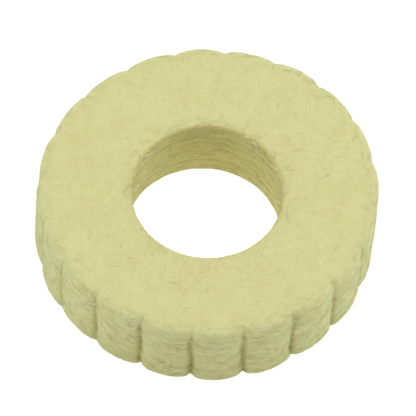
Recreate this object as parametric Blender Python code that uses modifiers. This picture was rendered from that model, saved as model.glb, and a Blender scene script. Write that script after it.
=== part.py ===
"""Scalloped ring of pressed wool felt, a polishing wheel, at rest on its lower face.

The wheel is a stack of carded wool plies that were felted together and cut to one outline: lobes
with shallow flutes between them round the rim, and a plain bore for a hub. It lies flat, with +Z
along the bore and the origin at the centre of its lower face. A lobe's crest points along +X.
"""

import math

import bmesh
import bpy

MM = 0.001

# The wheel
WHEEL_DIAMETER = 100 * MM  # over the crests of the lobes
WHEEL_WIDTH = 25 * MM  # face to face
BORE_DIAMETER = 44 * MM
FACE_EDGE_RADIUS = 1.25 * MM  # where the two faces roll over into the rim and the bore

# The flutes that part the lobes
LOBE_COUNT = 20
FLUTE_DEPTH = 1.0 * MM  # from the crests' circle in to the roots of the flutes

# The plies
PLY_COUNT = 8
BOND_GAP = 0.3 * MM  # the thin zone between two plies where their fibres lock together

# How finely the round shapes are faceted
FACETS_PER_LOBE = 6
BORE_ARCS = 4
FACETS_PER_BORE_ARC = 30  # as many facets round the bore as round the rim
FACE_EDGE_FACETS = 3

# Pressed undyed wool
FELT_COLOUR = (0.69, 0.66, 0.37, 1.0)
FELT_ROUGHNESS = 0.95

WELD_DISTANCE = 0.001 * MM
RIM_ANGLE = math.radians(60)  # an edge this sharp is where a face meets a wall
SMOOTH_ANGLE = math.radians(35)


def clear_scene():
    for obj in list(bpy.data.objects):
        bpy.data.objects.remove(obj)


def ply_thickness():
    return (WHEEL_WIDTH - (PLY_COUNT - 1) * BOND_GAP) / PLY_COUNT


def ply_bottom(index):
    """Height of a ply's lower side. Plies count from 0 at the bottom of the wheel."""
    return index * (ply_thickness() + BOND_GAP)


def ply_name(index):
    if index == 0:
        return "lower_face_ply"
    if index == PLY_COUNT - 1:
        return "upper_face_ply"
    return f"core_ply_{index}"


def felt_material():
    material = bpy.data.materials.new("pressed_wool_felt")
    material.use_nodes = True
    shader = material.node_tree.nodes["Principled BSDF"]
    shader.inputs["Base Color"].default_value = FELT_COLOUR
    shader.inputs["Roughness"].default_value = FELT_ROUGHNESS
    shader.inputs["Metallic"].default_value = 0.0
    return material


def add_arcs(curve, count, corner_radius, arc_radius, half_turn, facets):
    """Closed ring of equal Bezier arcs. Their ends lie at corner_radius from the centre, half a
    pitch either side of +X, and each arc turns through twice half_turn.
    """
    pitch = 2 * math.pi / count
    handle = arc_radius * 4 / 3 * math.tan(half_turn / 2)
    spline = curve.splines.new("BEZIER")
    spline.bezier_points.add(count - 1)
    spline.use_cyclic_u = True
    spline.resolution_u = facets
    for number, point in enumerate(spline.bezier_points):
        angle = (number + 0.5) * pitch
        leaving = angle + pitch / 2 + math.pi / 2 - half_turn
        arriving = angle - pitch / 2 + math.pi / 2 + half_turn
        x = corner_radius * math.cos(angle)
        y = corner_radius * math.sin(angle)
        point.handle_left_type = "FREE"
        point.handle_right_type = "FREE"
        point.co = (x, y, 0)
        point.handle_right = (x + handle * math.cos(leaving), y + handle * math.sin(leaving), 0)
        point.handle_left = (x - handle * math.cos(arriving), y - handle * math.sin(arriving), 0)


def add_scalloped_rim(curve):
    """Each lobe is one arc over its crest, from the root of one flute to the root of the next."""
    crest_radius = WHEEL_DIAMETER / 2
    root_radius = crest_radius - FLUTE_DEPTH
    half_pitch = math.pi / LOBE_COUNT
    half_chord = root_radius * math.sin(half_pitch)
    rise = crest_radius - root_radius * math.cos(half_pitch)
    arc_radius = (half_chord**2 + rise**2) / (2 * rise)
    half_turn = math.atan2(half_chord, arc_radius - rise)
    add_arcs(curve, LOBE_COUNT, root_radius, arc_radius, half_turn, FACETS_PER_LOBE)


def add_bore(curve):
    radius = BORE_DIAMETER / 2
    add_arcs(curve, BORE_ARCS, radius, radius, math.pi / BORE_ARCS, FACETS_PER_BORE_ARC)


def ply_curve(name):
    """The walls of the wheel's rim and bore, as high as one ply and centred on Z = 0."""
    curve = bpy.data.curves.new(name, "CURVE")
    curve.dimensions = "2D"
    curve.fill_mode = "NONE"
    curve.extrude = ply_thickness() / 2
    add_scalloped_rim(curve)
    add_bore(curve)
    return curve


def closed_mesh(curve, name):
    """The curve's walls, joined above and below by flat rings with straight spokes."""
    guide = bpy.data.objects.new(name + "_outline", curve)
    bpy.context.scene.collection.objects.link(guide)
    graph = bpy.context.evaluated_depsgraph_get()
    mesh = bpy.data.meshes.new_from_object(guide.evaluated_get(graph))
    mesh.name = name
    bpy.data.objects.remove(guide)
    shape = bmesh.new()
    shape.from_mesh(mesh)
    bmesh.ops.remove_doubles(shape, verts=shape.verts, dist=WELD_DISTANCE)
    for side in (-1, 1):
        loops = [edge for edge in shape.edges if all(vertex.co.z * side > 0 for vertex in edge.verts)]
        bmesh.ops.bridge_loops(shape, edges=loops)
    bmesh.ops.recalc_face_normals(shape, faces=shape.faces)
    shape.to_mesh(mesh)
    shape.free()
    return mesh


def mark_rims(mesh, side):
    """Gives a bevel weight to the sharp edges on one side of a ply: above for 1, below for -1."""
    shape = bmesh.new()
    shape.from_mesh(mesh)
    weight = shape.edges.layers.float.new("bevel_weight_edge")
    for edge in shape.edges:
        on_side = all(vertex.co.z * side > 0 for vertex in edge.verts)
        if on_side and edge.calc_face_angle() > RIM_ANGLE:
            edge[weight] = 1.0
    shape.to_mesh(mesh)
    shape.free()


def roll_rims_over(ply, side):
    """Rounds the rim and the bore where they meet the wheel's face on one side of a ply."""
    mark_rims(ply.data, side)
    bevel = ply.modifiers.new("rolled_face_edge", "BEVEL")
    bevel.limit_method = "WEIGHT"
    bevel.width = FACE_EDGE_RADIUS
    bevel.segments = FACE_EDGE_FACETS
    bevel.loop_slide = False  # an even width, whichever way the spokes of the flat side run
    bevel.use_clamp_overlap = False


def make_ply(index, collection, material):
    name = ply_name(index)
    mesh = closed_mesh(ply_curve(name), name)
    mesh.materials.clear()
    mesh.materials.append(material)
    mesh.shade_smooth()
    mesh.set_sharp_from_angle(angle=SMOOTH_ANGLE)
    ply = bpy.data.objects.new(name, mesh)
    ply.location.z = ply_bottom(index) + ply_thickness() / 2
    collection.objects.link(ply)
    if index == 0:
        roll_rims_over(ply, -1)
    if index == PLY_COUNT - 1:
        roll_rims_over(ply, 1)
    return ply


def main():
    clear_scene()
    collection = bpy.data.collections.new("felt_polishing_wheel")
    bpy.context.scene.collection.children.link(collection)
    material = felt_material()
    for index in range(PLY_COUNT):
        make_ply(index, collection, material)


main()
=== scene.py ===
"""The looks of a polishing wheel of pressed wool felt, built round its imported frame.

The wheel is a thick ring of eight felted plies with twenty shallow lobes round its rim and a plain
bore. Each ply here is a soft, slightly uneven ring that stands for its CAD node. Loose fibres, a few
dark hairs and bits of chaff lie on it. It rests on a pale floor under soft studio light.
"""

import logging
import math
import random
from collections.abc import Iterator
from dataclasses import dataclass, field
from enum import Enum
from functools import cached_property

import bmesh
import bpy
from mathutils import Matrix, Vector, noise


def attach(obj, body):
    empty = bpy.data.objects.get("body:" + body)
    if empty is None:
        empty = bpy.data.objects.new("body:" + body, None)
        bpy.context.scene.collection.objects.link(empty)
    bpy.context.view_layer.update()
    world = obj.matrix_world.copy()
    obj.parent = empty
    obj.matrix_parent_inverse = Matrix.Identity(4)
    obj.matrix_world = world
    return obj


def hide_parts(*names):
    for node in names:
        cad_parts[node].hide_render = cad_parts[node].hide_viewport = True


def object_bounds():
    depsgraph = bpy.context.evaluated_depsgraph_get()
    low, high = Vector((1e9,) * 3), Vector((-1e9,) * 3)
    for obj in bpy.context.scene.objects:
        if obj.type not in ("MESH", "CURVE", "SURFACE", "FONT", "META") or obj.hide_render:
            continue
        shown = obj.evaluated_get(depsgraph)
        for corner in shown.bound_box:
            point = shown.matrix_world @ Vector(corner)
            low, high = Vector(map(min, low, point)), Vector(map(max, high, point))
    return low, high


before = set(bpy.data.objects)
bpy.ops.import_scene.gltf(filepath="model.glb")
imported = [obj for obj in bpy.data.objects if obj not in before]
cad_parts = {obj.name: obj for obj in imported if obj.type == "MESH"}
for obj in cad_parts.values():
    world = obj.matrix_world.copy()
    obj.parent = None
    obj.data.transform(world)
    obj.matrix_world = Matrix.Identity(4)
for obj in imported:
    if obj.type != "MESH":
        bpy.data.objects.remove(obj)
CAD_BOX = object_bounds()

MM = 0.001
TAU = 2 * math.pi
PLY_CORNER = math.radians(50)  # an edge this sharp is where a ply's wall meets its hidden side
UPRIGHT = 0.9  # a surface whose normal is this level counts as a wall, and 1 is a true wall
TABLE_DROP = 0.4 * MM  # the table lies this far under the lower face, clear of its fibres
FIBRE_FLOOR = 0.25 * MM  # no fibre hangs further under the lower face than this
BODY = "root"

log = logging.getLogger("felt_polishing_wheel")


class Side(Enum):
    """The wheel's four surfaces, in the order in which a walk round its section meets them."""

    UPPER_FACE = "upper_face"
    RIM = "rim"
    LOWER_FACE = "lower_face"
    BORE = "bore"


# --- Small helpers ---


def linear(hex_colour: str) -> tuple[float, float, float, float]:
    """Turns an sRGB colour into the linear one that a shader takes.

    Args:
        hex_colour: The colour as "#RRGGBB".

    Returns:
        Red, green, blue and an alpha of 1.
    """
    shares = [int(hex_colour[i : i + 2], 16) / 255 for i in (1, 3, 5)]
    red, green, blue = (c / 12.92 if c <= 0.04045 else ((c + 0.055) / 1.055) ** 2.4 for c in shares)
    return red, green, blue, 1.0


def add_node(
    tree: bpy.types.NodeTree,
    kind: str,
    settings: dict[str | int, object] | None = None,
    links: dict[str | int, bpy.types.NodeSocket] | None = None,
) -> bpy.types.Node:
    """Adds a shader node with its settings and its incoming links.

    Args:
        tree: The node tree that gets the node.
        kind: The node's type without the ShaderNode in front.
        settings: Values by the name of a node property, or else by an input's name or number.
        links: Output sockets by the input's name or number that they feed.

    Returns:
        The new node.
    """
    node = tree.nodes.new("ShaderNode" + kind)
    for key, value in (settings or {}).items():
        if isinstance(key, str) and hasattr(node, key):
            setattr(node, key, value)
        else:
            node.inputs[key].default_value = value
    for key, socket in (links or {}).items():
        tree.links.new(socket, node.inputs[key])
    return node


def new_material(name: str) -> tuple[bpy.types.Material, bpy.types.NodeTree, bpy.types.Node]:
    """Makes a material that holds nothing but its output.

    Args:
        name: The material's name.

    Returns:
        The material, its node tree and its output node.
    """
    material = bpy.data.materials.new(name)
    material.use_nodes = True
    material.node_tree.nodes.clear()
    return material, material.node_tree, add_node(material.node_tree, "OutputMaterial")


def smooth_step(low: float, high: float, value: float) -> float:
    """Rises smoothly from 0 at low to 1 at high."""
    share = min(max((value - low) / (high - low), 0.0), 1.0)
    return share * share * (3 - 2 * share)


def mix(start: float, end: float, share: float) -> float:
    """Lies between start and end, at end where share is 1."""
    return start + (end - start) * share


def grain(point: Vector, size: float, seed: float = 0.0) -> float:
    """Smooth noise from about -1 to 1 whose bumps are about size across."""
    return noise.noise(point / size + Vector((seed, seed * 1.7, -seed)))


@dataclass(frozen=True)
class Bumps:
    """Smooth random bumps, with how wide and how high they are and a seed that tells them apart."""

    size: float
    height: float
    seed: float = 0.0

    def at(self, place: Vector) -> float:
        """How high they stand at a place."""
        return self.height * grain(place, self.size, self.seed)


def finish_piece(shape: bmesh.types.BMesh, name: str, material: bpy.types.Material) -> bpy.types.Object:
    """Turns a finished bmesh into a smooth-shaded piece at the origin and frees the bmesh.

    Args:
        shape: The bmesh, with its places in the row frame.
        name: The piece's name.
        material: Its only material.

    Returns:
        The new object.
    """
    mesh = bpy.data.meshes.new(name)
    shape.to_mesh(mesh)
    shape.free()
    mesh.materials.append(material)
    mesh.shade_smooth()
    piece = bpy.data.objects.new(name, mesh)
    bpy.context.scene.collection.objects.link(piece)
    return piece


def put_on_wheel(piece: bpy.types.Object, *replaced: str) -> None:
    """Ties a piece to the wheel's body and hides the CAD nodes that it stands for.

    Args:
        piece: The finished piece.
        *replaced: The CAD nodes that it stands for.
    """
    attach(piece, BODY)
    if replaced:
        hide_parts(*replaced)
    log.info("%s: %d faces", piece.name, len(piece.data.polygons))


# --- Finishes ---


@dataclass(frozen=True)
class Mottle:
    """A noise in a finish: the size of its spots, its detail, and the levels between which it shows."""

    size: float
    detail: float
    low: float
    high: float


@dataclass(frozen=True)
class PressedWoolFelt:
    """Undyed wool, carded, laid in layers, wetted and pressed.

    The eye sees a dead matt cream with soft tan clouds where the fibres lie thicker, fine curved
    fibres pressed into the surface, and on the cut walls a grain of level layers. A paler colour is
    painted onto the rolled edges as a painted highlight, and shade is painted into the flutes' folds
    and the seams between plies. Sizes are in millimetres, and shares run from 0 to 1.
    """

    cream: str = "#D0CE94"
    tan: str = "#C6BE82"
    pale_fibre: str = "#DCDAA6"
    pale_green: str = "#CED4A1"  # where the rim's wool is least pressed
    # A painted highlight: a paler colour painted on where the faces roll over into the rim
    painted_edge_highlight: str = "#E0E4B2"  # where the faces roll over into the rim
    bore_olive: str = "#D3CA80"
    # The colour of the painted shade in the flutes' folds and in the seams between plies
    painted_crease_shade: str = "#8C812C"
    sheen: str = "#E4F5DA"

    # Its patterns
    clouds: Mottle = Mottle(7.0, 2.0, 0.35, 0.7)
    patches: Mottle = Mottle(2.4, 3.0, 0.45, 0.72)
    flecks: Mottle = Mottle(1.0, 2.0, 0.56, 0.75)
    moss: Mottle = Mottle(5.0, 2.0, 0.42, 0.68)
    layers: Mottle = Mottle(1.0, 1.5, 0.42, 0.72)  # its spots are as large as one layer
    layer_height: float = 1.7  # the layers that show on a cut wall
    layer_length: float = 8.0
    fibre_bend: float = 1.8  # how far a pressed fibre runs before it turns
    fibre_width: float = 0.035  # how far from its middle value the fibres' noise still shows one

    # How strongly each pattern colours the wool
    cloud_tan: float = 0.36
    patch_tan: float = 0.48
    most_tan: float = 0.6
    moss_tint: float = 0.55
    bore_tint: float = 0.55
    fibre_tint: float = 0.2
    layer_shade: float = 0.13
    fleck_shade: float = 0.07
    # How strongly painted shade darkens the flutes' folds and the seams
    painted_crease_darkening: float = 0.5

    # The relief, whose parts are shares of its height
    relief_height: float = 0.14
    relief_strength: float = 0.5
    nap_size: float = 0.45
    fibre_relief: float = 0.25
    face_nap: float = 0.5
    layer_relief: float = 0.4
    wall_nap: float = 0.55

    def material(self, name: str) -> bpy.types.Material:
        """Builds the felt's nodes.

        Args:
            name: The material's name.

        Returns:
            The material. It reads the attributes "wall", which is 1 on the rim and in the bore, one
            that is 1 where shade is painted most darkly into the flutes' folds and the seams, "bore",
            which is 1 in the bore only, and "tone", a ply's own shade.
        """
        material, tree, output = new_material(name)
        place = add_node(tree, "TexCoord").outputs["Object"]
        thousand = {"vector_type": "POINT", "Scale": (1 / MM, 1 / MM, 1 / MM)}
        in_mm = add_node(tree, "Mapping", thousand, {"Vector": place}).outputs[0]
        flat = {"Scale": (1 / self.layer_length, 1 / self.layer_length, 1 / self.layer_height)}
        in_layers = add_node(tree, "Mapping", flat, {"Vector": in_mm}).outputs[0]
        wall, painted_crease_shade, bore, tone = (
            add_node(tree, "Attribute", {"attribute_name": key}).outputs["Fac"]
            for key in ("wall", "painted_crease_shade", "bore", "tone")
        )

        def field_of(size: float, detail: float, vector: bpy.types.NodeSocket) -> bpy.types.NodeSocket:
            """Noise whose bumps are about size across, in the units of its vector."""
            settings = {"Scale": 1 / size, "Detail": detail, "Roughness": 0.55}
            return add_node(tree, "TexNoise", settings, {"Vector": vector}).outputs["Fac"]

        def ranged(value: bpy.types.NodeSocket, low: float, high: float) -> bpy.types.NodeSocket:
            """Rises smoothly from 0 to 1 as value goes from low to high."""
            settings = {"interpolation_type": "SMOOTHSTEP", 1: low, 2: high}
            return add_node(tree, "MapRange", settings, {"Value": value}).outputs[0]

        def maths(kind: str, first: object, second: object) -> bpy.types.NodeSocket:
            """One operation on two values.

            Args:
                kind: The operation.
                first: A number or a socket.
                second: A number or a socket.

            Returns:
                The result's socket.
            """
            settings, links = {"operation": kind}, {}
            for number, value in enumerate((first, second)):
                (links if isinstance(value, bpy.types.NodeSocket) else settings)[number] = value
            return add_node(tree, "Math", settings, links).outputs[0]

        def blended(
            share: bpy.types.NodeSocket, first: bpy.types.NodeSocket, second: bpy.types.NodeSocket
        ) -> bpy.types.NodeSocket:
            """First where share is 0 and second where it is 1."""
            return add_node(tree, "Mix", {"data_type": "FLOAT"}, {0: share, 2: first, 3: second}).outputs[0]

        def tinted(
            share: bpy.types.NodeSocket, first: bpy.types.NodeSocket, second: str
        ) -> bpy.types.NodeSocket:
            """The first colour where share is 0 and the second one where it is 1."""
            settings = {"data_type": "RGBA", 7: linear(second)}
            return add_node(tree, "Mix", settings, {0: share, 6: first}).outputs[2]

        def mottled(mottle: Mottle) -> bpy.types.NodeSocket:
            """A pattern, from 0 where it is absent to 1 where it shows fully."""
            return ranged(field_of(mottle.size, mottle.detail, in_mm), mottle.low, mottle.high)

        def strand(vector: bpy.types.NodeSocket, size: float, seed: float) -> bpy.types.NodeSocket:
            """Thin winding lines: the places where a noise passes through its middle value.

            Args:
                vector: The place, in the units of size.
                size: How far a line runs before it turns.
                seed: What tells two sets of lines apart.

            Returns:
                A socket that is 1 on a line and 0 beside it.
            """
            moved = {"Location": (seed, -seed, seed)}
            shift = add_node(tree, "Mapping", moved, {"Vector": vector}).outputs[0]
            off_middle = maths("ABSOLUTE", maths("SUBTRACT", field_of(size, 1.0, shift), 0.5), 0.0)
            return maths("SUBTRACT", 1.0, ranged(off_middle, 0.0, self.fibre_width))

        face_strands = maths(
            "MAXIMUM", strand(in_mm, self.fibre_bend, 3.1), strand(in_mm, self.fibre_bend * 1.4, 7.7)
        )
        wall_strands = strand(in_layers, 1.0, 5.3)
        strands = blended(wall, face_strands, wall_strands)
        layers = field_of(self.layers.size, self.layers.detail, in_layers)
        on_rim = maths("SUBTRACT", wall, bore)

        clouds = maths("MULTIPLY", mottled(self.clouds), self.cloud_tan)
        patches = maths("MULTIPLY", mottled(self.patches), self.patch_tan)
        tan_share = maths("MULTIPLY", maths("ADD", clouds, patches), self.most_tan)
        ends = {"data_type": "RGBA", 6: linear(self.cream), 7: linear(self.tan)}
        wool = add_node(tree, "Mix", ends, {0: tan_share}).outputs[2]
        mossy = maths("MULTIPLY", maths("MULTIPLY", mottled(self.moss), on_rim), self.moss_tint)
        wool = tinted(mossy, wool, self.pale_green)
        in_bore = maths("MULTIPLY", ranged(bore, 0.0, 0.5), self.bore_tint)
        wool = tinted(in_bore, wool, self.bore_olive)
        # Painted highlight: the rolled edges between the faces and the rim are painted paler
        rolled = maths("MULTIPLY", on_rim, maths("SUBTRACT", 1.0, wall))
        wool = tinted(rolled, wool, self.painted_edge_highlight)
        wool = tinted(maths("MULTIPLY", strands, self.fibre_tint), wool, self.pale_fibre)
        layered = ranged(layers, self.layers.low, self.layers.high)
        layer_shade = maths("MULTIPLY", maths("MULTIPLY", layered, wall), self.layer_shade)
        fleck_shade = maths("MULTIPLY", mottled(self.flecks), self.fleck_shade)
        # Painted shade: the flutes' folds and the seams are painted darker, on top of the layers', flecks'
        # and plies' own darker tones
        painted_crease_darkening = maths("MULTIPLY", painted_crease_shade, self.painted_crease_darkening)
        dark = maths("ADD", maths("ADD", layer_shade, fleck_shade), painted_crease_darkening)
        dark = maths("MINIMUM", maths("ADD", dark, tone), 1.0)
        colour = tinted(dark, wool, self.painted_crease_shade)

        nap = field_of(self.nap_size, 2.0, in_mm)
        on_face = maths("MULTIPLY", face_strands, self.fibre_relief)
        face_height = maths("ADD", on_face, maths("MULTIPLY", nap, self.face_nap))
        on_wall = maths("MULTIPLY", layers, self.layer_relief)
        wall_height = maths("ADD", on_wall, maths("MULTIPLY", nap, self.wall_nap))
        height = blended(wall, face_height, wall_height)
        depth = {"Strength": self.relief_strength, "Distance": self.relief_height * MM}
        relief = add_node(tree, "Bump", depth, {"Height": height}).outputs["Normal"]

        shader = add_node(
            tree,
            "BsdfPrincipled",
            {
                "Roughness": 0.96,
                "IOR": 1.45,
                "Specular IOR Level": 0.15,
                "Sheen Weight": 0.52,
                "Sheen Roughness": 0.35,
                "Sheen Tint": linear(self.sheen),
            },
            {"Base Color": colour, "Normal": relief},
        )
        tree.links.new(shader.outputs[0], output.inputs["Surface"])
        return material


@dataclass(frozen=True)
class LooseWool:
    """Single wool fibres on the surface: translucent horn, smooth enough for a faint gleam.

    The eye sees each as a pale or tan line. The shade drifts along the wheel, so that neighbours
    differ. Sizes are in millimetres.
    """

    light: str = "#DDDBA9"
    dark: str = "#B9B078"
    drift: float = 1.5

    def material(self, name: str) -> bpy.types.Material:
        """Builds the fibre's nodes.

        Args:
            name: The material's name.

        Returns:
            The material.
        """
        material, tree, output = new_material(name)
        place = add_node(tree, "TexCoord").outputs["Object"]
        settings = {"Scale": 1 / (self.drift * MM), "Detail": 1.0}
        shade = add_node(tree, "TexNoise", settings, {"Vector": place}).outputs["Fac"]
        share = add_node(tree, "MapRange", {1: 0.35, 2: 0.65}, {"Value": shade}).outputs[0]
        ends = {"data_type": "RGBA", 6: linear(self.dark), 7: linear(self.light)}
        colour = add_node(tree, "Mix", ends, {0: share}).outputs[2]
        shader = add_node(
            tree, "BsdfPrincipled", {"Roughness": 0.6, "IOR": 1.55}, {"Base Color": colour}
        )
        tree.links.new(shader.outputs[0], output.inputs["Surface"])
        return material


@dataclass(frozen=True)
class OpalTable:
    """An opal acrylic light table: matt, milky, and lit evenly from below, so that it has no shadow."""

    milk: str = "#959594"
    glow: float = 0.96

    def material(self, name: str) -> bpy.types.Material:
        """Builds the acrylic's nodes.

        Args:
            name: The material's name.

        Returns:
            The material.
        """
        material, tree, output = new_material(name)
        settings = {
            "Base Color": linear(self.milk),
            "Roughness": 0.9,
            "Specular IOR Level": 0.1,
            "Emission Color": linear("#FFFFFF"),
            "Emission Strength": self.glow,
        }
        shader = add_node(tree, "BsdfPrincipled", settings)
        tree.links.new(shader.outputs[0], output.inputs["Surface"])
        return material


# --- The shape that pressing gave the wheel ---


@dataclass(frozen=True)
class Skin:
    """A place on the wheel's surface, with what the felt's finish needs there."""

    point: Vector
    normal: Vector
    wall: float
    # How much shade is painted in here, at the flutes' folds and the seams, from 0 to 1
    painted_crease_shade: float
    bore: float


@dataclass
class WheelForm:
    """The wheel's real, slightly uneven shape. Sizes are in metres.

    A place on the surface is given by an angle round the axis and a girth: the way round the
    section from the bore's upper edge out over the upper face, down the rim, in under the lower
    face and up the bore.
    """

    outer_radius: float
    bore_radius: float
    width: float
    ply_count: int
    lobe_count: int = 20

    # The flutes. At the front they are deepest at the lower face and shallow at the upper edge
    flute_sag: float = 0.90 * MM
    flute_bias: float = 0.12  # how much deeper they are towards -Y
    flute_differs: Bumps = Bumps(7 * MM, 0.25, 2.0)  # its height is a share of their depth
    flute_low: float = 1.25
    flute_high: float = 0.75
    flute_side: float = 0.5  # how much of the low depth is left where the rim faces sideways or back
    flute_front: tuple[float, float] = (0.45, 0.95)  # from side to front, as shares of the way to -Y
    flute_rise: tuple[float, float] = (0.35, 1.0)  # from deep to shallow, as shares of the width
    flute_wander: Bumps = Bumps(6 * MM, 0.6 * MM, 12.0)
    flute_apart: float = 50 * MM  # how far apart in that noise two flutes a radian apart lie
    lobe_fullness: float = 2.4  # 2 is a round lobe, and more is a flatter one
    lobe_swell: Bumps = Bumps(5 * MM, 0.22 * MM, 21.0)  # how much the lobes differ

    # The fold at a flute's root, which is worn away in places and at the upper edge
    notch_depth: float = 0.42 * MM
    notch_width: float = 0.95 * MM
    notch_left: float = 0.75
    notch_wear: Bumps = Bumps(4 * MM, 0.35, 9.0)
    notch_top: float = 0.82  # the share of the width from which it fades upwards
    notch_fade: float = 0.8

    # The rolled edges of the two faces
    edge_radius: float = 2.3 * MM
    edge_sharpness: float = 0.55  # that radius's share at the lower face and in the bore
    edge_reach: float = 4.4 * MM  # what a rolled edge may take of each surface
    edge_least: float = 0.6 * MM
    edge_bumps: float = 12 * MM  # how far apart round the wheel wide and narrow places are
    outer_edge_differs: float = 0.4  # how much they differ
    inner_edge_differs: float = 0.2
    edge_at_flute: float = 0.8 * MM  # how much wider it opens at a flute

    # The seams between plies
    seam_wander: float = 0.42 * MM
    seam_bend: float = 14 * MM
    seam_kink: float = 4 * MM
    seam_kink_share: float = 0.45
    seam_depth: float = 0.06 * MM
    rim_seam_share: float = 0.6  # how much of a seam's depth is left on the rim
    # The next two set how dark shade is painted into a deep seam, in the bore and on the rim
    bore_seam_painted_shade: float = 0.6  # how dark a deep seam is in the bore
    rim_seam_painted_shade: float = 0.2
    seam_width: float = 0.6 * MM
    seam_break: float = 6 * MM  # how far a seam runs before it closes up
    deep_seams: tuple[int, ...] = (2, 6)
    deep_seam_depth: float = 0.18 * MM
    deep_seam_least: float = 0.45  # the share of that depth where it is nearly closed

    # What pressing and handling left uneven
    lumps: Bumps = Bumps(9 * MM, 0.11 * MM)
    dents: Bumps = Bumps(2.6 * MM, 0.05 * MM, 1.0)
    nap: Bumps = Bumps(0.9 * MM, 0.012 * MM, 3.0)
    layers: Bumps = Bumps(10 * MM, 0.09 * MM, 6.0)
    fine_layers: Bumps = Bumps(5 * MM, 0.02 * MM, 8.0)
    layer_flatness: float = 6.0  # how many times longer than high a layer is
    face_lumps: float = 0.7  # how much of the lumps the faces show
    wall_lumps: float = 1.2
    bore_unevenness: float = 0.5  # how uneven the bore is, as a share of the rim

    # How far the ring is from true
    lean: Vector = field(default_factory=lambda: Vector((1.30 * MM, 0.73 * MM, 0.0)))
    twist: float = math.radians(1.0)  # how far the lower face is turned under the upper one
    rim_wear: float = 0.36 * MM  # how far inside true the crests of the lobes lie
    rim_oval: float = 0.16 * MM
    rim_oval_angle: float = math.radians(-20)
    rim_three_lobed: float = 0.27 * MM
    rim_three_lobed_angle: float = math.radians(42)
    bore_shift: Vector = field(default_factory=lambda: Vector((-0.45 * MM, 0.05 * MM, 0.0)))
    bore_lean: Vector = field(default_factory=lambda: Vector((0.0, -0.9 * MM, 0.0)))
    bore_wear: float = 0.05 * MM  # how much wider than true the bore is
    bore_oval: float = 0.12 * MM
    bore_oval_angle: float = math.radians(107)
    bore_flare: float = 0.67 * MM  # how much wider again it is at the lower face
    flare_oval: float = 0.3 * MM
    flare_oval_angle: float = math.radians(150)

    @cached_property
    def ring(self) -> float:
        """How wide a face is, from the bore to the rim."""
        return self.outer_radius - self.bore_radius

    @cached_property
    def girth(self) -> float:
        """The way round the whole section."""
        return 2 * (self.ring + self.width)

    @cached_property
    def corners(self) -> tuple[tuple[float, float, float, float], ...]:
        """Lists the section's four corners.

        Returns:
            Each corner's girth, its place across and up, and the normal's direction before it.
        """
        return (
            (0.0, 0.0, self.width, math.pi),
            (self.ring, self.ring, self.width, math.pi / 2),
            (self.ring + self.width, self.ring, 0.0, 0.0),
            (2 * self.ring + self.width, 0.0, 0.0, -math.pi / 2),
        )

    def start_of(self, side: Side) -> float:
        """Finds where a surface begins.

        Args:
            side: The surface.

        Returns:
            The girth there.
        """
        return {
            Side.UPPER_FACE: 0.0,
            Side.RIM: self.ring,
            Side.LOWER_FACE: self.ring + self.width,
            Side.BORE: 2 * self.ring + self.width,
        }[side]

    def length_of(self, side: Side) -> float:
        """How far a surface reaches along the girth."""
        return self.ring if side in (Side.UPPER_FACE, Side.LOWER_FACE) else self.width

    def lobe_offset(self, angle: float) -> tuple[float, float]:
        """Where an angle lies in its lobe.

        Args:
            angle: Round the axis, from +X, where a lobe has its crest.

        Returns:
            The offset from the lobe's crest, -1 and 1 being the flutes' roots, and the angle of the
            nearest flute.
        """
        pitch = TAU / self.lobe_count
        crest = round(angle / pitch)
        offset = 2 * (angle / pitch - crest)
        return offset, (crest + math.copysign(0.5, offset)) * pitch

    def rim_radius(self, angle: float, height: float) -> tuple[float, float]:
        """The rim's radius with its lobes and flutes.

        Args:
            angle: Round the axis.
            height: Over the lower face.

        Returns:
            The radius, and how deep in a flute's fold it is, from 0 to 1.
        """
        offset, flute = self.lobe_offset(angle)
        root = Vector((math.cos(flute), math.sin(flute), 0.0)) * self.outer_radius
        up = height / self.width
        depth = 1 - self.flute_bias * math.sin(flute) + self.flute_differs.at(root)
        front = smooth_step(*self.flute_front, -math.sin(flute))
        low = self.flute_low * mix(self.flute_side, 1.0, front)
        depth *= mix(low, self.flute_high, smooth_step(*self.flute_rise, up))
        sag = self.flute_sag * depth * abs(offset) ** self.lobe_fullness
        gap = (1 - abs(offset)) * math.pi / self.lobe_count * self.outer_radius
        fold = math.exp(-((gap / self.notch_width) ** 2))
        worn = self.notch_left + self.notch_wear.at(root + Vector((0, 0, height)))
        worn *= 1 - self.notch_fade * smooth_step(self.notch_top, 1.0, up)
        shape = self.rim_oval * math.cos(2 * (angle - self.rim_oval_angle))
        shape += self.rim_three_lobed * math.cos(3 * (angle - self.rim_three_lobed_angle))
        crest = flute - math.copysign(math.pi / self.lobe_count, offset)
        swell = self.lobe_swell.at(Vector((math.cos(crest), math.sin(crest), 0.0)) * self.outer_radius)
        shape += swell * (1 - offset * offset)
        radius = self.outer_radius - self.rim_wear + shape - sag - self.notch_depth * depth * worn * fold
        return radius, min(fold * depth * worn, 1.0)

    def bore_radius_at(self, angle: float, height: float) -> float:
        """The bore's radius: oval at the upper face, and oval another way and wider at the lower one.

        Args:
            angle: Round the axis.
            height: Over the lower face.

        Returns:
            The radius.
        """
        upper = self.bore_oval * math.cos(2 * (angle - self.bore_oval_angle))
        lower = self.bore_flare + self.flare_oval * math.cos(2 * (angle - self.flare_oval_angle))
        return self.bore_radius + self.bore_wear + mix(lower, upper, height / self.width)

    def seam_height(self, seam: int, angle: float, radius: float) -> float:
        """How high a seam between two plies runs.

        Args:
            seam: The number of the ply over it, 0 and ply_count being the two faces.
            angle: Round the axis.
            radius: The distance from the axis.

        Returns:
            The height over the lower face.
        """
        if seam <= 0 or seam >= self.ply_count:
            return self.width * min(max(seam, 0), 1)
        level = self.width * seam / self.ply_count
        place = Vector((math.cos(angle) * radius, math.sin(angle) * radius, level))
        bend = grain(place, self.seam_bend, seam * 3.3)
        kink = self.seam_kink_share * grain(place, self.seam_kink, seam * 5.1)
        return level + self.seam_wander * (bend + kink)

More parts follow.
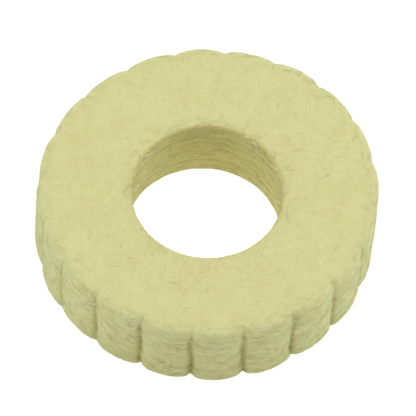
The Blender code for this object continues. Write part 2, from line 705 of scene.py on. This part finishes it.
    def seam_fold(self, angle: float, radius: float, height: float) -> float:
        """How far a wall draws in at a seam.

        Args:
            angle: Round the axis.
            radius: The distance from the axis.
            height: Over the lower face.

        Returns:
            The depth at that place, which is 0 away from the seams.
        """
        nearest = min(max(round(height / self.width * self.ply_count), 1), self.ply_count - 1)
        off = (height - self.seam_height(nearest, angle, radius)) / self.seam_width
        if abs(off) > 3:
            return 0.0
        place = Vector((math.cos(angle) * radius, math.sin(angle) * radius, nearest * MM))
        open_share = smooth_step(-0.15, 0.5, grain(place, self.seam_break, nearest * 7.7))
        if nearest in self.deep_seams:
            depth = self.deep_seam_depth * mix(self.deep_seam_least, 1.0, open_share)
            return depth * math.exp(-2 * off * off)
        return self.seam_depth * open_share * math.exp(-off * off)

    def rolled(self, along: float, radius: float) -> tuple[float, float, float]:
        """Rolls a square corner over.

        Args:
            along: The way past the corner along its two sides, negative on the first.
            radius: The corner's radius.

        Returns:
            How far the point lies in from the second side and from the first side, and the turn
            of its normal from the first side's to the second's.
        """
        straight = self.edge_reach - radius
        arc = math.pi * radius / 2
        way = (along / self.edge_reach + 1) / 2 * (2 * straight + arc)
        if way < straight:
            return self.edge_reach - way, 0.0, 0.0
        if way < straight + arc:
            turn = (way - straight) / radius
            return radius * (1 - math.sin(turn)), radius * (1 - math.cos(turn)), turn
        return 0.0, radius + way - straight - arc, math.pi / 2

    def corner_radius(self, angle: float, corner: int) -> float:
        """The rolled edge's radius, which varies round the wheel and opens at the flutes.

        Args:
            angle: Round the axis.
            corner: Its number in corners.

        Returns:
            The radius.
        """
        outer, upper = corner in (1, 2), corner in (0, 1)
        place = Vector((math.cos(angle), math.sin(angle), 0.0))
        place *= self.outer_radius if outer else self.bore_radius
        radius = self.edge_radius * (1.0 if upper and outer else self.edge_sharpness)
        differs = self.outer_edge_differs if outer else self.inner_edge_differs
        radius *= 1 + differs * grain(place, self.edge_bumps, 4.0 + corner)
        if outer:
            offset, _ = self.lobe_offset(angle)
            radius += self.edge_at_flute * abs(offset) ** 6
        return min(max(radius, self.edge_least), self.edge_reach * 0.95)

    def section(self, angle: float, girth: float) -> tuple[float, float, float]:
        """Where a girth lies on the section, with the corners rolled over.

        Args:
            angle: Round the axis, because the corners' radii vary with it.
            girth: The way round the section.

        Returns:
            The distance from the bore's wall, the height over the lower face, and the direction of
            the surface's normal, 0 being outwards and a quarter turn being up.
        """
        girth %= self.girth
        for number, (at, across, height, normal) in enumerate(self.corners):
            along = (girth - at + self.girth / 2) % self.girth - self.girth / 2
            if abs(along) >= self.edge_reach:
                continue
            from_second, from_first, turn = self.rolled(along, self.corner_radius(angle, number))
            first = Vector((math.cos(normal), math.sin(normal)))
            second = Vector((first.y, -first.x))
            spot = Vector((across, height)) - first * from_first - second * from_second
            return spot.x, spot.y, normal - turn
        if girth < self.ring:
            return girth, self.width, math.pi / 2
        if girth < self.ring + self.width:
            return self.ring, self.ring + self.width - girth, 0.0
        if girth < 2 * self.ring + self.width:
            return 2 * self.ring + self.width - girth, 0.0, -math.pi / 2
        return 0.0, girth - 2 * self.ring - self.width, math.pi

    def relief(self, place: Vector, wall: float, share: float) -> float:
        """How far pressing and handling left the surface in or out of true.

        Args:
            place: A point on the true surface.
            wall: 1 on the rim and in the bore, 0 on the faces.
            share: The way from the bore to the rim, because the bore stays truer.

        Returns:
            The distance along the surface's normal.
        """
        layered = Vector((place.x, place.y, place.z * self.layer_flatness))
        lumps = self.lumps.at(place) + self.dents.at(place)
        layers = self.layers.at(layered) + self.fine_layers.at(layered)
        uneven = mix(self.face_lumps, self.wall_lumps, wall) * lumps + wall * layers
        return uneven * mix(self.bore_unevenness, 1.0, share) + self.nap.at(place)

    def skin(self, angle: float, girth: float) -> Skin:
        """The surface at a place.

        Args:
            angle: Round the axis.
            girth: The way round the section.

        Returns:
            The point with its normal, and what the finish needs.
        """
        across, height, facing = self.section(angle, girth)
        share, up = across / self.ring, height / self.width
        radius, fold = self.rim_radius(angle, height)
        distance = mix(self.bore_radius_at(angle, height), radius, share)
        wall = abs(math.cos(facing))
        # Painted shade: the flutes' folds on the rim and the seams between plies are painted darker
        painted_crease_shade = fold * smooth_step(0.9, 1.0, share) * wall
        if wall > UPRIGHT:
            drawn_in = self.seam_fold(angle, mix(self.bore_radius, self.outer_radius, share), height)
            inwards = math.copysign(1.0, math.cos(facing))
            distance -= mix(1.0, self.rim_seam_share, share) * drawn_in * inwards
            dark = mix(self.bore_seam_painted_shade, self.rim_seam_painted_shade, share)
            painted_crease_shade = min(painted_crease_shade + dark * drawn_in / self.deep_seam_depth, 1.0)
        _, flute = self.lobe_offset(angle)
        near_flute = smooth_step(0.2, 1.0, 1 - abs(angle - flute) * self.lobe_count / math.pi)
        wander = self.flute_wander.at(Vector((flute * self.flute_apart, 0.0, height)))
        angle += self.twist * (1 - up)
        angle += wander / self.outer_radius * near_flute * smooth_step(0.8, 1.0, share)
        outward = Vector((math.cos(angle), math.sin(angle), 0.0))
        normal = outward * math.cos(facing) + Vector((0.0, 0.0, math.sin(facing)))
        true = outward * distance + Vector((0.0, 0.0, height))
        point = true + normal * self.relief(true, wall, share)
        point += self.lean * (up - 0.5) + (self.bore_shift + self.bore_lean * up) * (1 - share)
        return Skin(point, normal, wall, painted_crease_shade, wall * (1 - share))


# --- The plies ---


@dataclass
class FeltedPlies:
    """The eight felted plies that make the wheel, from the lower face up."""

    form: WheelForm
    finish: PressedWoolFelt = field(default_factory=PressedWoolFelt)
    columns_per_lobe: int = 44
    face_rows: int = 76
    edge_wall_rows: int = 14
    wall_rows: int = 12
    hidden_rows: int = 3
    gather: float = 0.45  # how much closer the columns stand at a flute
    gap: float = 0.02 * MM  # between neighbouring plies, too thin to see
    weld: float = 0.0001 * MM  # the sheet's ends, which meet, become one within this distance
    tones: tuple[float, ...] = (0.16, 0.12, 0.05, 0.08, 0.03, 0.06, 0.0, 0.0)

    def build(self) -> None:
        """Builds and dresses the plies and puts each in its CAD node's place."""
        material = self.finish.material("pressed_wool_felt")
        for number in range(self.form.ply_count):
            node = self.node_name(number)
            piece = finish_piece(self.ply(number), node + "_felt", material)
            piece.data.set_sharp_from_angle(angle=PLY_CORNER)
            put_on_wheel(piece, node)

    def node_name(self, number: int) -> str:
        """Names the CAD node of a ply.

        Args:
            number: The ply, counted from the bottom.

        Returns:
            The node's name.
        """
        if number == 0:
            return "lower_face_ply"
        return "upper_face_ply" if number == self.form.ply_count - 1 else f"core_ply_{number}"

    def ply(self, number: int) -> bmesh.types.BMesh:
        """Wraps one ply's skin, a flat sheet, round the ring and closes it.

        Along X the sheet runs once round the axis. Along Y it runs once round the ply's section:
        the lower side outwards, the rim up, the upper side inwards and the bore down.

        Args:
            number: The ply, counted from the bottom.

        Returns:
            The finished bmesh, with the finish's attributes.
        """
        shape, rows = bmesh.new(), self.rows(number)
        columns = self.columns_per_lobe * self.form.lobe_count
        bmesh.ops.create_grid(shape, x_segments=columns, y_segments=sum(rows), size=1.0)
        layers = {key: shape.verts.layers.float.new(key) for key in ("wall", "painted_crease_shade", "bore", "tone")}
        for vertex in shape.verts:
            angle = math.pi * vertex.co.x
            angle += self.gather / self.form.lobe_count * math.sin(self.form.lobe_count * angle)
            row = round((vertex.co.y + 1) / 2 * sum(rows))
            skin = self.pressed(number, angle, *self.way_round(rows, row))
            vertex.co = skin.point
            vertex[layers["wall"]] = skin.wall
            # The painted shade of the folds and seams
            vertex[layers["painted_crease_shade"]] = skin.painted_crease_shade
            vertex[layers["bore"]] = skin.bore
            vertex[layers["tone"]] = self.tones[number] * skin.wall
        open_ends = [vertex for vertex in shape.verts if vertex.is_boundary]
        bmesh.ops.remove_doubles(shape, verts=open_ends, dist=self.weld)
        bmesh.ops.recalc_face_normals(shape, faces=shape.faces)
        return shape

    def rows(self, number: int) -> tuple[int, int, int, int]:
        """Counts the rows of a ply's sides.

        Args:
            number: The ply, counted from the bottom.

        Returns:
            The rows of its lower side, its rim, its upper side and its bore.
        """
        last = self.form.ply_count - 1
        lower = self.face_rows if number == 0 else self.hidden_rows
        upper = self.face_rows if number == last else self.hidden_rows
        wall = self.edge_wall_rows if number in (0, last) else self.wall_rows
        return lower, wall, upper, wall

    @staticmethod
    def way_round(rows: tuple[int, int, int, int], row: int) -> tuple[float, float]:
        """Where a row lies on a ply's section.

        Args:
            rows: The rows of its four sides.
            row: The row, counted from the bore's lower edge.

        Returns:
            The share of the way from the bore to the rim and the share of the way up.
        """
        lower, rim, upper, bore = rows
        if row <= lower:
            return row / lower, 0.0
        if row <= lower + rim:
            return 1.0, (row - lower) / rim
        if row <= lower + rim + upper:
            return 1.0 - (row - lower - rim) / upper, 1.0
        return 0.0, 1.0 - (row - lower - rim - upper) / bore

    def pressed(self, number: int, angle: float, across: float, up: float) -> Skin:
        """Where a point of a ply's skin goes.

        Args:
            number: The ply.
            angle: Round the axis.
            across: The share of the way from the bore to the rim.
            up: The share of the way up the ply.

        Returns:
            Its place on the wheel's surface, or inside it for a side that another ply covers.
        """
        form, last = self.form, self.form.ply_count - 1
        if number == last and up == 1.0:
            return form.skin(angle, across * form.ring)
        if number == 0 and up == 0.0:
            return form.skin(angle, form.start_of(Side.LOWER_FACE) + (1 - across) * form.ring)
        radius = mix(form.bore_radius, form.outer_radius, across)
        low = form.seam_height(number, angle, radius) + (self.gap / 2 if number > 0 else 0.0)
        high = form.seam_height(number + 1, angle, radius) - (self.gap / 2 if number < last else 0.0)
        height = mix(low, high, up)
        if across == 1.0:
            return form.skin(angle, form.ring + form.width - height)
        if across == 0.0:
            return form.skin(angle, form.start_of(Side.BORE) + height)
        bore = form.skin(angle, form.start_of(Side.BORE) + height)
        rim = form.skin(angle, form.ring + form.width - height)
        return Skin(bore.point.lerp(rim.point, across), bore.normal, 1.0, 1.0, 0.0)


# --- What lies loose on the surface ---


@dataclass(frozen=True)
class FibreKind:
    """One kind of loose fibre. Lengths are in metres and headings in radians from level."""

    name: str
    count: int
    length: tuple[float, float]
    thickness: float
    lift: float  # the most that its middle stands off the surface
    curl: float  # how much its heading wanders at each step
    spread: float  # how far its heading may be from level
    free_end: float = 0.0  # the share of fibres with an end that stands up
    reach: float = 0.4 * MM  # how far such an end stands up
    step: float = 0.7 * MM
    sink: float = 0.02 * MM  # how deep its ends lie in the surface
    taper: float = 0.6  # how much thinner its ends are
    margin: float = 2.5 * MM  # how far past the edge of its surface it may start
    tufts: tuple[tuple[float, float], ...] = ()  # angles in degrees and girths, instead of all over
    tuft_angle: float = 0.03  # how far from its middle a tuft spreads round the wheel, in radians
    tuft_girth: float = 0.7 * MM  # and along the section


@dataclass
class LooseFibres:
    """Fibres that felting left loose on one surface of the wheel."""

    form: WheelForm
    kind: FibreKind
    finish: LooseWool
    sides: tuple[Side, ...]
    seed: int
    weld: float = 0.0005 * MM  # points of a strand's cap this close become one

    def build(self) -> None:
        """Builds and dresses the fibres as one piece."""
        piece = self.mesh_of(self.curve())
        put_on_wheel(piece)

    def curve(self) -> bpy.types.Curve:
        """Lays every fibre as a thin round strand.

        Returns:
            A curve with one spline for each fibre.
        """
        curve = bpy.data.curves.new(self.kind.name, "CURVE")
        curve.dimensions = "3D"
        curve.bevel_depth = self.kind.thickness / 2
        curve.bevel_resolution = 0
        curve.use_fill_caps = True
        draw = random.Random(self.seed)
        for index in range(self.kind.count):
            points = list(self.fibre(draw, *self.start(draw, index)))
            strand = curve.splines.new("POLY")
            strand.points.add(len(points) - 1)
            for number, (knot, point) in enumerate(zip(strand.points, points, strict=True)):
                knot.co = (*point, 1.0)
                knot.radius = 1 - self.kind.taper * abs(2 * number / (len(points) - 1) - 1) ** 3
        return curve

    def start(self, draw: random.Random, index: int) -> tuple[float, float]:
        """Where a fibre starts.

        Args:
            draw: The source of the piece's random numbers.
            index: The fibre's number.

        Returns:
            The angle and the girth.
        """
        kind, form = self.kind, self.form
        if kind.tufts:
            degrees, girth = kind.tufts[index % len(kind.tufts)]
            angle = math.radians(degrees) + draw.gauss(0, kind.tuft_angle)
            return angle, girth + draw.gauss(0, kind.tuft_girth)
        side = draw.choice(self.sides)
        start, length = form.start_of(side), form.length_of(side)
        angle = draw.uniform(-math.pi, math.pi)
        return angle, draw.uniform(start - kind.margin, start + length + kind.margin)

    def fibre(self, draw: random.Random, angle: float, girth: float) -> Iterator[Vector]:
        """Walks one fibre over the surface.

        Args:
            draw: The source of the piece's random numbers.
            angle: Where it starts, round the axis.
            girth: Where it starts, round the section.

        Yields:
            Its points from end to end.
        """
        kind, form = self.kind, self.form
        heading = draw.uniform(-kind.spread, kind.spread) + draw.choice((0.0, math.pi))
        steps = max(round(draw.uniform(*kind.length) / kind.step), 3)
        lift = kind.lift * draw.uniform(0.2, 1.0)
        tip = kind.reach * draw.random() if draw.random() < kind.free_end else 0.0
        bend = draw.uniform(-kind.curl, kind.curl)
        for number in range(steps + 1):
            share = number / steps
            skin = form.skin(angle, girth)
            off = lift * math.sin(math.pi * share) - kind.sink + tip * share**3
            point = skin.point + skin.normal * off
            point.z = max(point.z, -FIBRE_FLOOR)
            yield point
            across, _, _ = form.section(angle, girth)
            angle += kind.step * math.cos(heading) / (form.bore_radius + across)
            girth += kind.step * math.sin(heading)
            bend += draw.uniform(-kind.curl, kind.curl) * 0.5
            bend = min(max(bend, -kind.curl * 1.5), kind.curl * 1.5)
            heading += bend

    def mesh_of(self, curve: bpy.types.Curve) -> bpy.types.Object:
        """Turns the strands into a mesh.

        Args:
            curve: The strands.

        Returns:
            The finished piece, at the origin.
        """
        guide = bpy.data.objects.new(self.kind.name + "_guide", curve)
        bpy.context.scene.collection.objects.link(guide)
        graph = bpy.context.evaluated_depsgraph_get()
        mesh = bpy.data.meshes.new_from_object(guide.evaluated_get(graph))
        bpy.data.objects.remove(guide)
        shape = bmesh.new()
        shape.from_mesh(mesh)
        bmesh.ops.remove_doubles(shape, verts=shape.verts, dist=self.weld)
        bmesh.ops.recalc_face_normals(shape, faces=shape.faces)
        return finish_piece(shape, self.kind.name, self.finish.material(self.kind.name))


@dataclass
class Chaff:
    """Bits of chaff that carding left in the wool, each a dark grain half sunk in the surface."""

    form: WheelForm
    finish: LooseWool
    count: int = 70
    size: tuple[float, float] = (0.10 * MM, 0.24 * MM)
    length: tuple[float, float] = (1.0, 2.0)  # this and the next two are times its size
    breadth: tuple[float, float] = (0.7, 1.0)
    height: float = 0.6
    seed: int = 71

    def build(self) -> None:
        """Builds and dresses the bits as one piece."""
        shape, draw = bmesh.new(), random.Random(self.seed)
        for _ in range(self.count):
            skin = self.form.skin(draw.uniform(-math.pi, math.pi), draw.random() * self.form.girth)
            size = draw.uniform(*self.size)
            turn = skin.normal.to_track_quat("Z", "Y").to_matrix().to_4x4()
            turn = turn @ Matrix.Rotation(draw.uniform(0, TAU), 4, "Z")
            length, breadth = size * draw.uniform(*self.length), size * draw.uniform(*self.breadth)
            squash = Matrix.Diagonal((length, breadth, size * self.height, 1))
            place = Matrix.Translation(skin.point) @ turn @ squash
            bmesh.ops.create_icosphere(shape, subdivisions=1, radius=0.5, matrix=place)
        put_on_wheel(finish_piece(shape, "chaff_bits", self.finish.material("chaff")))


# --- The studio ---


@dataclass(frozen=True)
class Softbox:
    """A square softbox that faces the wheel. Its place and side are in metres and its power in watts."""

    name: str
    place: tuple[float, float, float]
    side: float
    power: float


@dataclass
class Studio:
    """A pale floor, soft light from above and from both sides, and the camera."""

    form: WheelForm
    table: OpalTable = field(default_factory=OpalTable)
    floor_side: float = 4.0
    lens: float = 400.0
    azimuth: float = math.radians(-3.06)
    elevation: float = math.radians(58.79)
    distance: float = 1.357
    aim: tuple[float, float] = (-0.25 * MM, 0.79 * MM)  # off the wheel's middle, to the right and up
    world_light: float = 0.39
    softboxes: tuple[Softbox, ...] = (
        Softbox("top_softbox", (0.0, 0.15, 1.1), 0.9, 3.13),
        Softbox("left_softbox", (-0.75, 0.1, 0.65), 0.7, 3.75),
        Softbox("right_softbox", (0.75, 0.1, 0.65), 0.7, 4.45),
    )

    def build(self) -> None:
        """Sets everything up."""
        self.lay_floor()
        self.light_world()
        for softbox in self.softboxes:
            self.hang(softbox)
        self.set_camera()

    def lay_floor(self) -> None:
        """Lays the light table that the wheel rests on."""
        shape = bmesh.new()
        bmesh.ops.create_grid(shape, x_segments=1, y_segments=1, size=self.floor_side / 2)
        bmesh.ops.translate(shape, verts=shape.verts, vec=(0, 0, -TABLE_DROP))
        finish_piece(shape, "floor", self.table.material("opal_table"))

    def light_world(self) -> None:
        """Fills the shadows with an even white."""
        world = bpy.data.worlds.new("white_room")
        world.use_nodes = True
        background = world.node_tree.nodes["Background"]
        background.inputs["Color"].default_value = (1.0, 1.0, 1.0, 1.0)
        background.inputs["Strength"].default_value = self.world_light
        bpy.context.scene.world = world

    def hang(self, softbox: Softbox) -> None:
        """Hangs a softbox.

        Args:
            softbox: The one to hang.
        """
        light = bpy.data.lights.new(softbox.name, "AREA")
        light.shape = "SQUARE"
        light.size = softbox.side
        light.energy = softbox.power
        lamp = bpy.data.objects.new(softbox.name, light)
        lamp.location = softbox.place
        lamp.rotation_euler = (-Vector(softbox.place)).to_track_quat("-Z", "Y").to_euler()
        bpy.context.scene.collection.objects.link(lamp)

    def set_camera(self) -> None:
        """Looks down on the wheel from the front with a long lens."""
        camera = bpy.data.cameras.new("camera")
        camera.lens = self.lens
        camera.sensor_width = 36.0
        camera.clip_start = 0.05
        camera.clip_end = 10.0
        level = Vector((math.sin(self.azimuth), -math.cos(self.azimuth), 0.0))
        back = level * math.cos(self.elevation) + Vector((0.0, 0.0, math.sin(self.elevation)))
        right = Vector((math.cos(self.azimuth), math.sin(self.azimuth), 0.0))
        middle = Vector((0.0, 0.0, self.form.width / 2)) + self.form.lean / 2
        viewer = bpy.data.objects.new("camera", camera)
        viewer.location = middle + back * self.distance + right * self.aim[0]
        viewer.location += back.cross(right) * self.aim[1]
        viewer.rotation_euler = (-back).to_track_quat("-Z", "Y").to_euler()
        bpy.context.scene.collection.objects.link(viewer)
        bpy.context.scene.camera = viewer


# --- The whole scene ---


def measured_form() -> WheelForm:
    """Reads the wheel's driving sizes from the frame.

    Returns:
        The wheel's shape.
    """
    low, high = CAD_BOX
    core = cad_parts["core_ply_1"].data
    bore = min(math.hypot(vertex.co.x, vertex.co.y) for vertex in core.vertices)
    return WheelForm(high.x, bore, high.z - low.z, len(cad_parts))


def fibre_groups(form: WheelForm) -> Iterator[LooseFibres]:
    """Every group of loose fibres.

    Args:
        form: The wheel's shape.

    Yields:
        Pressed fibres for each surface, the fuzz on the walls, the long and the short fibres on the
        upper face, the strays in tufts and the dark hairs.
    """
    pale, white = LooseWool(), LooseWool(light="#F8F4CC", dark="#E3DCA6")
    green, olive = LooseWool(light="#DCE2AC", dark="#CACF98"), LooseWool(light="#DAD59C", dark="#BFB676")
    cream, tan = LooseWool(light="#E6E3B2", dark="#CCC68C"), LooseWool(light="#C9C188", dark="#B3A96A")
    brown = LooseWool(light="#AD9750", dark="#8A7436")
    upper_edge, rim = form.girth - 1 * MM, form.start_of(Side.RIM)
    tufts = (
        (141, upper_edge),
        (51, upper_edge),
        (14, upper_edge),
        (225, rim + 4 * MM),
        (241, rim + 4 * MM),
        (250, rim + 17 * MM),
    )
    hairs = ((203, 14 * MM), (252, 13.5 * MM), (260, 10 * MM), (318, 8 * MM), (95, 18 * MM), (20, 15 * MM))
    every_way = math.pi / 2
    pressed = dict(length=(3 * MM, 8 * MM), thickness=0.06 * MM)
    face = dict(**pressed, lift=0.03 * MM, curl=0.20, spread=every_way)
    wall = dict(**pressed, lift=0.06 * MM, curl=0.14, spread=0.8, free_end=0.2)
    fuzz = dict(length=(0.9 * MM, 2.4 * MM), thickness=0.042 * MM, lift=0.1 * MM, curl=0.3, spread=every_way)
    fuzz.update(free_end=1.0, reach=1.0 * MM)
    long = dict(length=(7 * MM, 16 * MM), thickness=0.075 * MM, lift=0.02 * MM, curl=0.13, spread=every_way)
    short = dict(length=(1.5 * MM, 4 * MM), thickness=0.075 * MM, lift=0.0, curl=0.2, spread=every_way)
    stray = dict(length=(2 * MM, 4.5 * MM), thickness=0.15 * MM, lift=0.4 * MM, curl=0.12, spread=1.3)
    stray.update(free_end=0.5, reach=1.0 * MM, tufts=tufts)
    dark = dict(length=(4 * MM, 9 * MM), thickness=0.08 * MM, lift=0.0, curl=0.09, spread=every_way)
    groups = (
        ("upper_face_fibres", 1500, dict(**face, free_end=0.06), pale, Side.UPPER_FACE, 11),
        ("lower_face_fibres", 1500, face, pale, Side.LOWER_FACE, 12),
        ("rim_fibres", 2000, dict(**wall, reach=0.6 * MM), pale, Side.RIM, 13),
        ("bore_fibres", 900, dict(**wall, reach=0.5 * MM), pale, Side.BORE, 14),
        ("rim_fuzz", 6200, fuzz, green, Side.RIM, 17),
        ("rim_down", 6200, fuzz, green, Side.RIM, 19),
        ("bore_fuzz", 2600, fuzz, olive, Side.BORE, 18),
        ("long_face_fibres", 220, long, cream, Side.UPPER_FACE, 20),
        ("tan_fibre_ends", 900, short, tan, Side.UPPER_FACE, 21),
        ("stray_fibres", 72, stray, white, Side.RIM, 15),
        ("dark_hairs", 9, dict(**dark, tufts=hairs), brown, Side.UPPER_FACE, 16),
    )
    for name, count, sizes, finish, side, seed in groups:
        yield LooseFibres(form, FibreKind(name, count, **sizes), finish, (side,), seed)


def main() -> None:
    """Builds the wheel and its studio."""
    logging.basicConfig(level=logging.INFO, format="%(name)s: %(message)s")
    bpy.context.scene.view_settings.view_transform = "Standard"
    form = measured_form()
    FeltedPlies(form).build()
    for fibres in fibre_groups(form):
        fibres.build()
    Chaff(form, LooseWool(light="#6B5A34", dark="#3E331C")).build()
    Studio(form).build()


if __name__ == "__main__":
    main()
